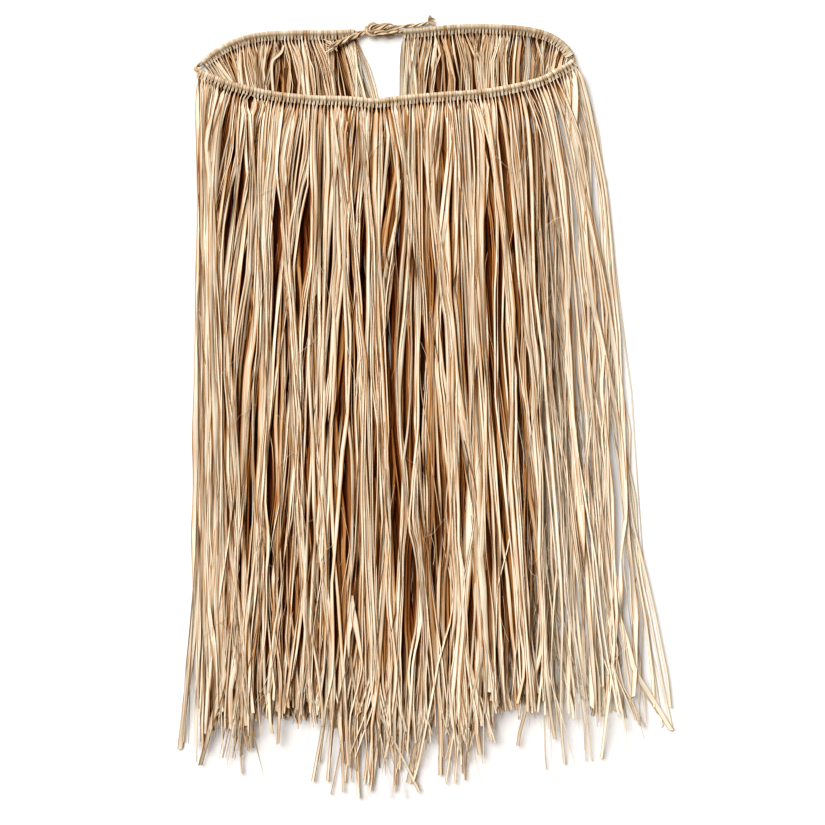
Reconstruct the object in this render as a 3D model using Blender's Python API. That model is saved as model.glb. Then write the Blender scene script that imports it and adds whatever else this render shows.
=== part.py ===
"""Grass skirt of split palm leaf, laid out on its back on a flat surface.

A cord runs round the waist and is tied behind with a reef knot. Locks of dried leaf hang
from it all the way round, each hitched over the cord. Laid out, the back locks lie on the
surface, the front locks lie on them, and the waist is pulled open into a flat oval.

Row frame: +X to the skirt's left side as worn, +Y from hem to waist, +Z up off the surface.
Sizes below are in millimetres; MM turns them into metres.
"""
import math
import random
from collections import namedtuple

import bmesh
import bpy
from mathutils import Vector

MM = 0.001

# Driving dimensions
CORD_RADIUS = 2.6
KNOT_CORD_RADIUS = 2.0
TIE_LEFT_RADIUS = 2.8
TIE_RIGHT_RADIUS = 2.3
SEAM = 0.3
FRONT_LOCKS = 105
BACK_LEFT_LOCKS = 45
BACK_RIGHT_LOCKS = 50
LOCK_HEIGHT = 3.6
LAYER_STEP = 4.4
BACK_CLEARANCE = 0.4
BACK_STACK = 9.0
FRONT_CLEARANCE = 0.5

# Steps between the points of the cords
CORD_STEP = 8.0
CORNER_STEP = 2.4
CORNER_REACH = 16.0
KNOT_STEP = 2.6
TIE_STEP = 5.0
SEAT_LEAD = 2.0

# The strip of hitches that carries the roots of the locks, and where it starts and ends
FRONT_STRIP_START = 12.0
FRONT_STRIP_END = 8.0
FRONT_RUNS = ("fringe_front_left", "fringe_front_middle", "fringe_front_right")
BACK_LEFT_MARGINS = (11.0, 17.0)
BACK_RIGHT_MARGINS = (9.0, 11.0)
STRIP_WIDTH = 4.2
STRIP_THICKNESS = 4.0
NOTCH_DEPTH = 1.3
NOTCH_INSET = 0.7

DOWN = Vector((0.0, -1.0))

# The waist cord's route, each row a point that it passes through
CordPoint = namedtuple("CordPoint", "x y z")
FRONT_CORD = [
    CordPoint(-263.5, 406.6, 5.4),
    CordPoint(-267.6, 403.4, 5.8),
    CordPoint(-267.0, 399.8, 7.0),
    CordPoint(-252.4, 393.2, 11.2),
    CordPoint(-226.6, 383.0, 12.1),
    CordPoint(-182.3, 372.6, 11.9),
    CordPoint(-136.3, 367.4, 11.9),
    CordPoint(-91.4, 366.0, 11.9),
    CordPoint(-61.5, 363.4, 11.9),
    CordPoint(-32.8, 366.6, 11.9),
    CordPoint(10.9, 370.6, 11.9),
    CordPoint(70.7, 375.4, 11.9),
    CordPoint(122.5, 386.2, 12.0),
    CordPoint(148.0, 398.2, 11.8),
    CordPoint(161.5, 406.0, 8.6),
    CordPoint(166.4, 410.6, 6.2),
    CordPoint(166.4, 414.4, 5.4),
]
BACK_LEFT_CORD = [
    CordPoint(-254.7, 414.2, 4.0),
    CordPoint(-244.4, 422.1, 3.2),
    CordPoint(-230.6, 430.1, 2.9),
    CordPoint(-211.0, 437.6, 2.8),
    CordPoint(-184.6, 442.2, 2.8),
    CordPoint(-147.8, 443.5, 2.8),
    CordPoint(-113.3, 443.5, 2.8),
    CordPoint(-88.0, 444.6, 2.8),
]
BACK_RIGHT_CORD = [
    CordPoint(-27.0, 444.4, 5.4),
    CordPoint(-14.0, 445.8, 2.9),
    CordPoint(24.7, 449.6, 2.8),
    CordPoint(59.2, 450.9, 2.8),
    CordPoint(93.7, 449.6, 2.8),
    CordPoint(119.0, 446.6, 2.8),
    CordPoint(137.4, 441.6, 2.8),
    CordPoint(151.2, 433.6, 2.8),
    CordPoint(160.6, 424.6, 3.2),
]

# The reef knot: half of one bight, from its leg to the middle of its bend. The other half
# mirrors it, and the other bight faces it, upside down.
KNOT_CENTRE = Vector((-54.6, 446.6, 4.6))
BightPoint = namedtuple("BightPoint", "along across lift")
HALF_BIGHT = [
    BightPoint(-18.5, 2.9, -1.6),
    BightPoint(-14.5, 2.4, -2.4),
    BightPoint(-11.0, 2.4, -2.2),
    BightPoint(-7.5, 2.5, 0.0),
    BightPoint(-4.0, 3.3, 1.9),
    BightPoint(0.0, 4.6, 2.4),
    BightPoint(4.0, 5.9, 1.9),
    BightPoint(7.5, 6.8, 0.0),
    BightPoint(11.0, 6.2, -2.0),
    BightPoint(13.4, 4.2, -2.4),
    BightPoint(14.6, 2.0, -2.4),
]
BIGHT_BEND = BightPoint(15.0, 0.0, -2.4)

# The two free ends, from the knot outwards
TIE_LEFT = [
    CordPoint(-80.5, 441.3, 4.2),
    CordPoint(-87.0, 438.2, 7.5),
    CordPoint(-95.0, 434.8, 9.2),
    CordPoint(-103.0, 431.2, 10.4),
    CordPoint(-110.5, 427.8, 11.4),
]
TIE_RIGHT = [
    CordPoint(-29.0, 450.8, 6.2),
    CordPoint(-20.0, 452.3, 4.8),
    CordPoint(-9.0, 454.4, 3.2),
    CordPoint(-1.0, 456.6, 2.6),
    CordPoint(5.5, 458.2, 2.5),
]

# What the locks of one panel share
Panel = namedtuple("Panel", "strip_low clearance levels narrows drop lies_on straight_down")

# How the locks spread: share along the cord, where the tip lies, and how late they turn
Spread = namedtuple("Spread", "share tip_x lateness")
FRONT_SPREAD = [
    Spread(0.00, -299.0, 5.0),
    Spread(0.02, -286.0, 4.5),
    Spread(0.06, -264.0, 3.0),
    Spread(0.12, -238.0, 2.0),
    Spread(0.30, -148.0, 1.3),
    Spread(0.50, -34.0, 1.1),
    Spread(0.70, 80.0, 1.0),
    Spread(0.85, 166.0, 0.9),
    Spread(0.94, 226.0, 0.85),
    Spread(0.98, 268.0, 0.85),
    Spread(1.00, 303.5, 0.85),
]
BACK_LEFT_SPREAD = [
    Spread(0.00, -256.0, 1.2),
    Spread(0.50, -144.0, 1.0),
    Spread(0.90, -50.0, 0.6),
    Spread(1.00, -26.0, 0.45),
]
BACK_RIGHT_SPREAD = [
    Spread(0.00, -16.0, 1.6),
    Spread(0.50, 100.0, 1.1),
    Spread(1.00, 224.0, 1.0),
]

# The hem: how far the longest locks reach, and how much shorter others may be
Hem = namedtuple("Hem", "x y shorter")
FRONT_HEM = [
    Hem(-300.0, -384.0, 6.0),
    Hem(-268.0, -402.0, 40.0),
    Hem(-234.0, -450.0, 60.0),
    Hem(-165.0, -463.0, 60.0),
    Hem(-119.0, -452.0, 55.0),
    Hem(-88.0, -415.0, 40.0),
    Hem(-50.0, -440.0, 50.0),
    Hem(50.0, -442.0, 60.0),
    Hem(150.0, -430.0, 60.0),
    Hem(200.0, -404.0, 50.0),
    Hem(254.0, -382.0, 40.0),
    Hem(301.0, -343.0, 10.0),
]
BACK_HEM = [
    Hem(-260.0, -330.0, 12.0),
    Hem(-100.0, -347.0, 22.0),
    Hem(100.0, -346.0, 22.0),
    Hem(226.0, -320.0, 20.0),
]

# Locks that cross over their neighbours: share along the front, and the tip's sideways reach
Crossing = namedtuple("Crossing", "share reach")
CROSSINGS = [
    Crossing(0.14, 24.0),
    Crossing(0.33, -26.0),
    Crossing(0.44, 12.0),
    Crossing(0.57, -40.0),
    Crossing(0.61, -50.0),
    Crossing(0.65, -48.0),
    Crossing(0.78, 20.0),
    Crossing(0.90, -14.0),
]

# Stations along a lock: the first ones by distance from the root, the others by level
LEAD_IN = (6.0, 20.0)
FRONT_LEVELS = (290.0, 130.0, -60.0, -235.0, -352.0, -402.0)
BACK_LEVELS = (290.0, 60.0, -160.0)
LEAST_STRETCH = 3.0

# A lock's widths: at its root, where it leaves the hitch, along its body and at its tip
ROOT_WIDTH = 2.6
NECK_WIDTH = 3.0
BODY_WIDTHS = (5.0, 7.4)
CROSSING_WIDTH = 4.4
TIP_WIDTH = 3.6
TIP_JITTER = 0.8
FILL = 0.88
FULL_LENGTH_EVERY = 6
SWAY = 3.0
SWAY_LENGTH = 260.0

# The front locks narrow towards their tips, and drop to the surface past the back hem
HEM_NARROWS = (-235.0, -352.0)
HEM_DROP = (-352.0, -402.0)
BELOW_HEM = (-440.0, -460.0)

# What lies under the front locks: the edge of the back panel, by level
BACK_LEFT_EDGE = ((350.0, -240.0), (-325.0, -262.0))
BACK_RIGHT_EDGE = ((385.0, 156.0), (-325.0, 228.0))
EDGE_MARGIN = 8.0
EDGE_RAMP = 24.0

# Finish of the materials: colour, roughness, metallic
Finish = namedtuple("Finish", "colour roughness metallic")
LEAF = Finish((0.74, 0.60, 0.41, 1.0), 0.62, 0.0)
LEAF_SHADED = Finish((0.62, 0.47, 0.30, 1.0), 0.66, 0.0)
CORD = Finish((0.70, 0.58, 0.42, 1.0), 0.70, 0.0)


def clear_scene():
    for item in list(bpy.data.objects):
        bpy.data.objects.remove(item, do_unlink=True)


def make_material(name, finish):
    material = bpy.data.materials.new(name)
    material.use_nodes = True
    shader = material.node_tree.nodes["Principled BSDF"]
    shader.inputs["Base Color"].default_value = finish.colour
    shader.inputs["Roughness"].default_value = finish.roughness
    shader.inputs["Metallic"].default_value = finish.metallic
    material.diffuse_color = finish.colour
    return material


def share_of(value, start, end):
    """0 before start, 1 after end, even between; start may lie above end."""
    return min(1.0, max(0.0, (value - start) / (end - start)))


def ramp(value, start, end):
    """The same, with soft ends."""
    share = share_of(value, start, end)
    return share * share * (3.0 - 2.0 * share)


def between(rows, key, column, value):
    """The column's value, read off the table's straight lines."""
    first = rows[0]
    for row in rows[1:]:
        low = getattr(first, key)
        high = getattr(row, key)
        if value <= high:
            share = max(0.0, (value - low) / (high - low))
            start = getattr(first, column)
            return start + (getattr(row, column) - start) * share
        first = row
    return getattr(rows[-1], column)


def edge_at(edge, y):
    (y_top, x_top), (y_low, x_low) = edge
    return x_top + (x_low - x_top) * (y_top - y) / (y_top - y_low)


def back_panel_height(x, y):
    """Height of the back panel's top under a point of the front panel."""
    left = edge_at(BACK_LEFT_EDGE, y) - EDGE_MARGIN
    right = edge_at(BACK_RIGHT_EDGE, y) + EDGE_MARGIN
    height = BACK_STACK * ramp(x, left - EDGE_RAMP, left)
    height *= ramp(x, right + EDGE_RAMP, right)
    return height * share_of(y, HEM_DROP[1], HEM_DROP[0])


class Route:
    """A smooth curve through points, read by distance along it."""

    def __init__(self, points, steps=12):
        knots = [Vector(point) for point in points]
        knots.insert(0, knots[0] * 2.0 - knots[1])
        knots.append(knots[-1] * 2.0 - knots[-2])
        self.points = []
        for i in range(1, len(knots) - 2):
            for step in range(steps):
                self.points.append(self.blend(knots[i - 1:i + 3], step / steps))
        self.points.append(knots[-2])
        self.marks = [0.0]
        for first, second in zip(self.points, self.points[1:]):
            self.marks.append(self.marks[-1] + (second - first).length)
        self.length = self.marks[-1]

    @staticmethod
    def blend(four, share):
        a, b, c, d = four
        square = share * share
        cube = square * share
        bend = 2.0 * b + (c - a) * share + (2.0 * a - 5.0 * b + 4.0 * c - d) * square
        return 0.5 * (bend + (3.0 * b - a - 3.0 * c + d) * cube)

    def at(self, distance):
        distance = min(self.length, max(0.0, distance))
        last = len(self.marks) - 1
        i = next((n for n in range(last) if self.marks[n + 1] >= distance), last - 1)
        share = (distance - self.marks[i]) / (self.marks[i + 1] - self.marks[i])
        return self.points[i].lerp(self.points[i + 1], share)

    def heading(self, distance):
        return (self.at(distance + 0.5) - self.at(distance - 0.5)).normalized()

    def samples(self, step, end_step=None, end_reach=0.0):
        """Points a step apart, closer together within end_reach of each end."""
        marks = []
        distance = 0.0
        while distance < self.length / 2.0:
            marks.append(distance)
            distance += end_step if end_step and distance < end_reach else step
        marks = marks + [self.length - mark for mark in reversed(marks)]
        middle = len(marks) // 2
        if marks[middle] - marks[middle - 1] < step / 2.0:
            del marks[middle]
        return [self.at(mark) for mark in marks]


def add_object(name, data, material, parent):
    part = bpy.data.objects.new(name, data)
    bpy.context.collection.objects.link(part)
    data.materials.append(material)
    part.parent = parent
    return part


def add_tube(name, points, radius, material, parent):
    """A round cord along the points, with closed ends."""
    curve = bpy.data.curves.new(name, "CURVE")
    curve.dimensions = "3D"
    curve.bevel_depth = radius * MM
    curve.bevel_resolution = 2
    curve.use_fill_caps = True
    spline = curve.splines.new("POLY")
    spline.points.add(len(points) - 1)
    for target, point in zip(spline.points, points):
        target.co = (*(point * MM), 1.0)
        target.radius = 1.0
    spline.use_smooth = True
    return add_object(name, curve, material, parent)


def knot_bight(side):
    """One bight of the knot: side is -1 for the cord from the left, 1 for the right.

    It runs from its standing leg round its bend to the leg of its free end.
    """
    half = [Vector(row) for row in HALF_BIGHT]
    mirrored = [Vector((row.x, -row.y, row.z)) for row in reversed(half)]
    route = half + [Vector(BIGHT_BEND)] + mirrored
    return [KNOT_CENTRE + point * -side for point in route]


def ends_of(points):
    """Each end's point, and the way out of it."""
    start = (points[0], (points[0] - points[1]).normalized())
    finish = (points[-1], (points[-1] - points[-2]).normalized())
    return start, finish


def seats_past(end):
    """Two points that carry on from a cord's end, past the seam, in its own direction."""
    point, heading = end
    return point + heading * SEAM, point + heading * (SEAM + SEAT_LEAD)


class Lock:
    """A lock of leaf: it leads straight out of its hitch, then runs on to its tip."""

    def __init__(self, station, root, lead, tip, width, layer, lateness):
        self.station = station
        self.root = root
        self.lead = lead
        self.turn = root + lead * LEAD_IN[-1]
        self.tip = tip
        self.width = width
        self.layer = layer
        self.lateness = lateness
        self.reach = 0.0

    def centre_x(self, y):
        share = max(0.0, (self.turn.y - y) / (self.turn.y - self.tip.y))
        x = self.turn.x + (self.tip.x - self.turn.x) * share ** self.lateness
        x += self.reach * share * share
        return x + SWAY * share * math.sin(math.tau * y / SWAY_LENGTH + x / SWAY_LENGTH)

    def path(self, levels):
        """Plan points from the neck, through each level, to the tip."""
        points = [self.root + self.lead * distance for distance in LEAD_IN]
        for y in (*levels, self.tip.y):
            if y == self.tip.y or y > self.tip.y + LEAST_STRETCH:
                points.append(Vector((self.centre_x(y), y)))
        return points


def plan_locks(route, stations, spread, hem, panel, seed):
    """The locks of one panel, in order along the cord."""
    draw = random.Random(seed)
    locks = []
    for i, station in enumerate(stations):
        share = (i + 0.5) / len(stations)
        tip_x = between(spread, "share", "tip_x", share) + draw.uniform(-1, 1) * TIP_JITTER
        shorter = between(hem, "x", "shorter", tip_x) * draw.random()
        if i % FULL_LENGTH_EVERY == 0:
            shorter = 0.0
        tip = Vector((tip_x, between(hem, "x", "y", tip_x) + shorter))
        near, _, _, far = [corner.to_2d() for corner in strip_ring(route, station, panel, 0)]
        lead = ((far - near).normalized() + DOWN * panel.straight_down).normalized()
        lateness = between(spread, "share", "lateness", share)
        width = draw.uniform(*BODY_WIDTHS)
        locks.append(Lock(station, far, lead, tip, width, i % 2, lateness))
    return locks


def raise_crossings(locks):
    """Lift the few locks that cross their neighbours onto a third layer."""
    for crossing in CROSSINGS:
        lock = locks[round(crossing.share * len(locks))]
        lock.layer = 2
        lock.width = CROSSING_WIDTH
        lock.reach = crossing.reach


def room_at(locks, i, y, apart):
    """Sideways room for a lock between the neighbours that lie so many places away."""
    x = locks[i].centre_x(y)
    places = [j for j in (i - apart, i + apart) if 0 <= j < len(locks)]
    places = [j for j in places if locks[j].layer < 2]
    return min([abs(locks[j].centre_x(y) - x) for j in places], default=NECK_WIDTH)


def lock_width(locks, i, y, narrows):
    """A lock's width at a level, clear of its own layer and, near the hem, of the other."""
    lock = locks[i]
    share = share_of(y, *narrows)
    width = lock.width + (TIP_WIDTH - lock.width) * share
    if lock.layer == 2:
        return width
    width = min(width, room_at(locks, i, y, 2) * FILL)
    beside = min(width, room_at(locks, i, y, 1) * FILL)
    return width + (beside - width) * share


def lock_sections(locks, i, root_low, panel):
    """The corners of each section of a lock, from its neck to its tip."""
    lock = locks[i]
    path = lock.path(panel.levels)
    sections = []
    for n, point in enumerate(path):
        before = path[n - 1] if n else lock.root
        after = path[min(n + 1, len(path) - 1)]
        along = (after - before).normalized()
        across = Vector((-along.y, along.x))
        width = lock_width(locks, i, point.y, panel.narrows)
        width = min(width, (ROOT_WIDTH, NECK_WIDTH, width)[min(n, 2)])
        settled = LEAD_IN[min(n, 1)] / LEAD_IN[1]
        layer = lock.layer - min(1, lock.layer) * share_of(point.y, *panel.drop)
        corners = []
        for side, rise in ((-0.5, 0.0), (0.5, 0.0), (0.0, LOCK_HEIGHT)):
            spot = point + across * (side * width)
            low = panel.lies_on(spot.x, spot.y) + panel.clearance + layer * LAYER_STEP
            low = root_low + (low - root_low) * settled
            corners.append(Vector((spot.x, spot.y, low + rise)))
        sections.append(corners)
    return sections


def strip_ring(route, station, panel, inset):
    """The four corners of the hitch strip at one station: near and far, low and high."""
    point = route.at(station)
    heading = route.heading(station).to_2d().normalized()
    out = Vector((heading.y, -heading.x))
    low = panel.strip_low if panel.strip_low is not None else point.z - STRIP_THICKNESS / 2.0
    high = low + STRIP_THICKNESS - inset * NOTCH_DEPTH
    near = point.to_2d() + out * (CORD_RADIUS + SEAM + inset * NOTCH_INSET)
    far = point.to_2d() + out * (CORD_RADIUS + SEAM + STRIP_WIDTH - inset * NOTCH_INSET)
    return [
        Vector((near.x, near.y, low)),
        Vector((near.x, near.y, high)),
        Vector((far.x, far.y, high)),
        Vector((far.x, far.y, low)),
    ]


def add_lock(mesh, left, right, sections):
    """Skin a lock from the far side of its strip, between two rings, to its tip."""
    first = [mesh.verts.new(corner * MM) for corner in sections[0]]
    low_left, low_right, top = first
    mesh.faces.new((left[3], right[3], low_right, low_left))
    mesh.faces.new((left[2], left[3], low_left, top))
    mesh.faces.new((right[3], right[2], top, low_right))
    mesh.faces.new((right[2], left[2], top))
    for section in sections[1:]:
        after = [mesh.verts.new(corner * MM) for corner in section]
        for i in range(3):
            j = (i + 1) % 3
            mesh.faces.new((first[i], first[j], after[j], after[i]))
        first = after
    mesh.faces.new(first)


def add_fringe(name, route, locks, run, ends, panel, material, parent):
    """One strip of hitches with its run of the panel's locks, as one closed solid."""
    mesh = bmesh.new()
    stops = [(ends[0], 0, None)]
    for i in run:
        station = locks[i].station
        stops.append((station - ROOT_WIDTH / 2.0, 0, i))
        stops.append((station + ROOT_WIDTH / 2.0, 0, None))
        if i != run[-1]:
            stops.append(((station + locks[i + 1].station) / 2.0, 1, None))
    stops.append((ends[1], 0, None))
    rings = []
    for station, inset, _ in stops:
        corners = strip_ring(route, station, panel, inset)
        rings.append([mesh.verts.new(corner * MM) for corner in corners])
    for (_, _, i), left, right in zip(stops, rings, rings[1:]):
        for side in range(4):
            following = (side + 1) % 4
            if i is None or side != 2:
                mesh.faces.new((left[side], left[following], right[following], right[side]))
        if i is not None:
            root_low = strip_ring(route, locks[i].station, panel, 0)[3].z
            add_lock(mesh, left, right, lock_sections(locks, i, root_low, panel))
    mesh.faces.new(rings[0])
    mesh.faces.new(rings[-1])
    bmesh.ops.recalc_face_normals(mesh, faces=mesh.faces)
    data = bpy.data.meshes.new(name)
    mesh.to_mesh(data)
    mesh.free()
    return add_object(name, data, material, parent)


def even_stations(start, finish, count):
    pitch = (finish - start) / count
    return [start + pitch * (i + 0.5) for i in range(count)]


def add_front(route, material, parent):
    """The front panel: runs of locks side by side on the one cord."""
    panel = Panel(None, FRONT_CLEARANCE, FRONT_LEVELS, HEM_NARROWS, HEM_DROP,
                  back_panel_height, 2.0)
    start = FRONT_STRIP_START
    length = route.length - FRONT_STRIP_END - start
    stations = even_stations(start, start + length, FRONT_LOCKS)
    locks = plan_locks(route, stations, FRONT_SPREAD, FRONT_HEM, panel, 11)
    raise_crossings(locks)
    per_run = FRONT_LOCKS // len(FRONT_RUNS)
    for i, name in enumerate(FRONT_RUNS):
        run = range(per_run * i, per_run * (i + 1))
        low = start + length * i / len(FRONT_RUNS) + SEAM / 2.0
        high = start + length * (i + 1) / len(FRONT_RUNS) - SEAM / 2.0
        add_fringe(name, route, locks, run, (low, high), panel, material, parent)


def add_back(name, route, count, margins, spread, seed, material, parent):
    """One half of the back panel, lying on the surface."""
    panel = Panel(0.0, BACK_CLEARANCE, BACK_LEVELS, BELOW_HEM, BELOW_HEM,
                  lambda x, y: 0.0, 0.5)
    ends = (margins[0], route.length - margins[1])
    locks = plan_locks(route, even_stations(*ends, count), spread, BACK_HEM, panel, seed)
    add_fringe(name, route, locks, range(count), ends, panel, material, parent)


def build():
    clear_scene()
    materials = {
        "leaf": make_material("leaf", LEAF),
        "leaf_shaded": make_material("leaf_shaded", LEAF_SHADED),
        "cord": make_material("cord", CORD),
    }
    skirt = bpy.data.objects.new("grass_skirt", None)
    bpy.context.collection.objects.link(skirt)

    front = Route(FRONT_CORD)
    front_points = front.samples(CORD_STEP, CORNER_STEP, CORNER_REACH)
    corner_left, corner_right = ends_of(front_points)
    bights = {side: Route(knot_bight(side)).samples(KNOT_STEP) for side in (-1, 1)}
    leg_left, free_left = ends_of(bights[-1])
    leg_right, free_right = ends_of(bights[1])

    left_seat, left_lead = seats_past(corner_left)
    left_leg, left_leg_lead = seats_past(leg_left)
    right_leg, right_leg_lead = seats_past(leg_right)
    right_seat, right_lead = seats_past(corner_right)
    left = Route([left_lead, *BACK_LEFT_CORD, left_leg_lead])
    right = Route([right_leg_lead, *BACK_RIGHT_CORD, right_lead])
    left_points = [left_seat, *left.samples(CORD_STEP, CORNER_STEP, CORNER_REACH), left_leg]
    right_points = [right_leg, *right.samples(CORD_STEP, CORNER_STEP, CORNER_REACH), right_seat]
    cord = materials["cord"]
    add_tube("waist_cord_front", front_points, CORD_RADIUS, cord, skirt)
    add_tube("waist_cord_back_left", left_points, CORD_RADIUS, cord, skirt)
    add_tube("waist_cord_back_right", right_points, CORD_RADIUS, cord, skirt)
    add_tube("knot_left_bight", bights[-1], KNOT_CORD_RADIUS, cord, skirt)
    add_tube("knot_right_bight", bights[1], KNOT_CORD_RADIUS, cord, skirt)

    free_left_seat, free_left_lead = seats_past(free_left)
    free_right_seat, free_right_lead = seats_past(free_right)
    tie_left = Route([free_left_lead, *TIE_LEFT]).samples(TIE_STEP)
    tie_right = Route([free_right_lead, *TIE_RIGHT]).samples(TIE_STEP)
    add_tube("tie_end_left", [free_left_seat, *tie_left], TIE_LEFT_RADIUS, cord, skirt)
    add_tube("tie_end_right", [free_right_seat, *tie_right], TIE_RIGHT_RADIUS, cord, skirt)

    add_front(front, materials["leaf"], skirt)
    shaded = materials["leaf_shaded"]
    add_back("fringe_back_left", left, BACK_LEFT_LOCKS, BACK_LEFT_MARGINS,
             BACK_LEFT_SPREAD, 23, shaded, skirt)
    add_back("fringe_back_right", right, BACK_RIGHT_LOCKS, BACK_RIGHT_MARGINS,
             BACK_RIGHT_SPREAD, 37, shaded, skirt)


build()
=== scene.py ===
import math
import bpy
import numpy as np
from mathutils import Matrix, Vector


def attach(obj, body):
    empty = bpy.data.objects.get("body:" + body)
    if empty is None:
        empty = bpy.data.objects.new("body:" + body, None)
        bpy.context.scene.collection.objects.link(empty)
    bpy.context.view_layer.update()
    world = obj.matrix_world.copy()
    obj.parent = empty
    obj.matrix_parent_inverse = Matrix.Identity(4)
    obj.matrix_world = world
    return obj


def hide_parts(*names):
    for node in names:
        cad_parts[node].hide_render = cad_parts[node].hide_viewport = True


# A skirt of split palm leaf, laid out on its back. Lengths are in millimetres, and mm turns them into metres.
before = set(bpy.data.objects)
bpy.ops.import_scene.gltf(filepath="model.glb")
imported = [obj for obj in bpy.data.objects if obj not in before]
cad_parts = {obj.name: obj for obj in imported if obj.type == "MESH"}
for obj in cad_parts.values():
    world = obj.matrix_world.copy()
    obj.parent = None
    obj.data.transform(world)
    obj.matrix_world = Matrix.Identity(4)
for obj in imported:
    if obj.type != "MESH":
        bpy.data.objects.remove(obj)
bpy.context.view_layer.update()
mm = 0.001
fullTurn = 2 * math.pi

leafThick = 0.26           # of a single strip
ridgedWidth = 5.0          # a strip as wide as this has its ridges at full height
creaseAngle = 55           # degrees; a sharper edge is shaded as a crease
toneLimits = (0.1, 0.98)   # of the hitches and the hairs

view = {
    "middle": (-18.4, 5.75),   # the point straight under the camera
    "across": 948.75,          # what the frame spans at the level below
    "level": 10.0,
    "height": 2300.0,
    "sensor": 36.0,
}


def addCamera():
    data = bpy.data.cameras.new("camera")
    data.sensor_width = view["sensor"]
    data.lens = view["sensor"] * (view["height"] - view["level"]) / view["across"]
    camera = bpy.data.objects.new("camera", data)
    bpy.context.collection.objects.link(camera)
    camera.location = (view["middle"][0] * mm, view["middle"][1] * mm, view["height"] * mm)
    bpy.context.scene.camera = camera


addCamera()
print("camera placed")


# Lines and meshes

def smoothStep(value, start, end):  # 0 before start, 1 after end, eased between
    share = np.clip((value - start) / (end - start), 0, 1)
    return share * share * (3 - 2 * share)


def eased(value, amount, start, end):  # nothing before start, the whole amount after end
    return amount * smoothStep(value, start, end)


def fading(value, amount, start, end):  # the whole amount before start, nothing after end
    return amount * (1 - smoothStep(value, start, end))


def smoothLine(rows, steps=12):  # a curve through the rows' points
    knots = np.array(rows, float)
    knots = np.vstack([2 * knots[0] - knots[1], knots, 2 * knots[-1] - knots[-2]])
    share = (np.arange(steps) / steps)[:, None]
    spans = []
    for a, b, c, d in zip(knots, knots[1:], knots[2:], knots[3:]):
        bend = 2 * b + (c - a) * share + (2 * a - 5 * b + 4 * c - d) * share ** 2
        spans.append(0.5 * (bend + (3 * b - a - 3 * c + d) * share ** 3))
    return np.vstack([*spans, knots[-2:-1]])


def marksOf(line):  # distance along a line to each of its points
    return np.concatenate([[0], np.cumsum(np.linalg.norm(np.diff(line, axis=0), axis=1))])


def walk(line, distances):  # the points at these distances along a line
    marks = marksOf(line)
    return np.stack([np.interp(distances, marks, line[:, k]) for k in range(line.shape[1])], axis=1)


def unit(vectors):
    return vectors / np.maximum(np.linalg.norm(vectors, axis=-1, keepdims=True), 1e-9)


def waver(draw, along, spacing, amount):  # a soft wave with a new height every spacing
    place = along / spacing + draw.random() + 1
    low = np.floor(place).astype(int)
    heights = draw.normal(0, amount, low[-1] + 2)
    share = smoothStep(place - low, 0, 1)
    return heights[low] * (1 - share) + heights[low + 1] * share


def ringsAlong(centre, width, thick, curl, tilt, ridges=(0, 0, 0), cut=0.0):
    # Sections of a flat strand along its centre line: curl rolls it up across, tilt turns it about the line,
    # ridges lift its columns, and cut makes its end oblique.
    tangent = unit(np.gradient(centre, axis=0))
    side = unit(np.cross(tangent, (0, 0, 1)))
    up = np.cross(side, tangent)
    tilt = np.broadcast_to(tilt, len(centre))[:, None]
    across = np.cos(tilt) * side + np.sin(tilt) * up
    face = np.cos(tilt) * up - np.sin(tilt) * side
    column = np.linspace(-1, 1, len(ridges))
    curl = np.broadcast_to(curl, len(centre))[:, None]
    width = np.broadcast_to(width, len(centre))[:, None]
    angle = curl * column / 2
    radius = width / curl
    sideways = radius * np.sin(angle)
    rise = radius * (1 - np.cos(angle)) + np.array(ridges) * np.minimum(1, width / ridgedWidth)
    rise = rise - rise.mean(axis=1, keepdims=True)
    half = np.broadcast_to(thick, len(centre))[:, None] / 2 * np.sqrt(1 - column ** 2)
    order = [*range(len(column)), *range(len(column) - 2, 0, -1)]
    signs = np.array([1] * len(column) + [-1] * (len(column) - 2))
    sideways = sideways[:, order] - signs * half[:, order] * np.sin(angle[:, order])
    rise = rise[:, order] + signs * half[:, order] * np.cos(angle[:, order])
    rings = centre[:, None] + sideways[..., None] * across[:, None] + rise[..., None] * face[:, None]
    rings[-1] += tangent[-1] * (cut * width[-1] / 2 * column[order])[:, None]
    return rings, width / 2 * column[order]


def tubeRings(centre, radius, sides=8, flat=1.0, turn=0.0):  # round or flattened sections
    tangent = unit(np.gradient(centre, axis=0))
    side = unit(np.cross(tangent, (0, 0, 1)))
    up = np.cross(side, tangent)
    angle = -np.arange(sides) / sides * fullTurn
    radius = np.broadcast_to(radius, len(centre))[:, None]
    turn = np.broadcast_to(turn, len(centre))[:, None]
    x = radius * np.cos(angle)
    y = radius * flat * np.sin(angle)
    sideways = (x * np.cos(turn) - y * np.sin(turn))[..., None]
    rise = (x * np.sin(turn) + y * np.cos(turn))[..., None]
    rings = centre[:, None] + sideways * side[:, None] + rise * up[:, None]
    return rings, radius * angle


def newSheaf():  # what one joined mesh gathers
    return {"rings": [], "across": [], "along": [], "tone": [], "grain": [], "edge": []}


def addStrand(sheaf, rings, across, tone, grain):
    sheaf["rings"].append(rings)
    edge = np.abs(across) / np.abs(across).max(axis=-1, keepdims=True)  # 0 down its middle, 1 along its edges
    sheaf["edge"].append(np.broadcast_to(edge, rings.shape[:2]))
    sheaf["across"].append(np.broadcast_to(across, rings.shape[:2]))
    along = marksOf(rings.mean(axis=1))
    sheaf["along"].append(np.broadcast_to(along[:, None], rings.shape[:2]))
    sheaf["tone"].append(np.broadcast_to(tone, rings.shape[:2]))
    sheaf["grain"].append(np.full(rings.shape[:2], grain))


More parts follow.
